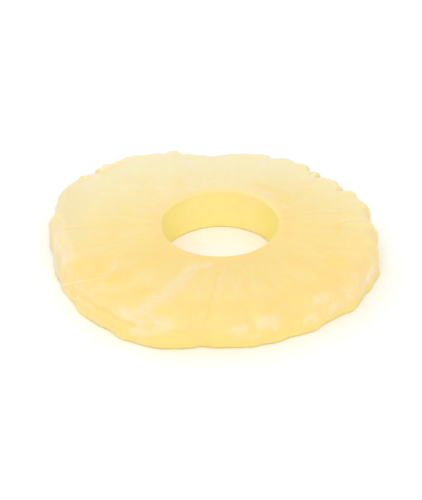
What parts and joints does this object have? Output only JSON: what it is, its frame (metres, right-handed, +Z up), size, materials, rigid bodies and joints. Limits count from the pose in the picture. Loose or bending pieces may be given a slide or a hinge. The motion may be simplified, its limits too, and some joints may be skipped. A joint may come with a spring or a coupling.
{
  "type": "pineapple ring",
  "caption": "Slice of peeled, cored pineapple: a soft oval ring with a round hole off its middle, a worn upper edge, a nicked rim and fine seams that run outwards.",
  "frame": {"origin": "under the middle of the bounding box, at the height of the lower cut that the ring rests on", "axes": "+Z up along the core's axis, from the lower cut to the upper cut; +X across the ring the long way, to the right as the worn front edge is seen; +Y from the worn front edge to the back"},
  "size_m": [0.0846, 0.0752, 0.0117],
  "materials": {
    "flesh": "soft and moist, pale yellow, slightly see-through, with fine fibres running out from the hole"
  },
  "bodies": {
    "root": {"pineapple_ring": "flesh"}
  },
  "joints": []
}
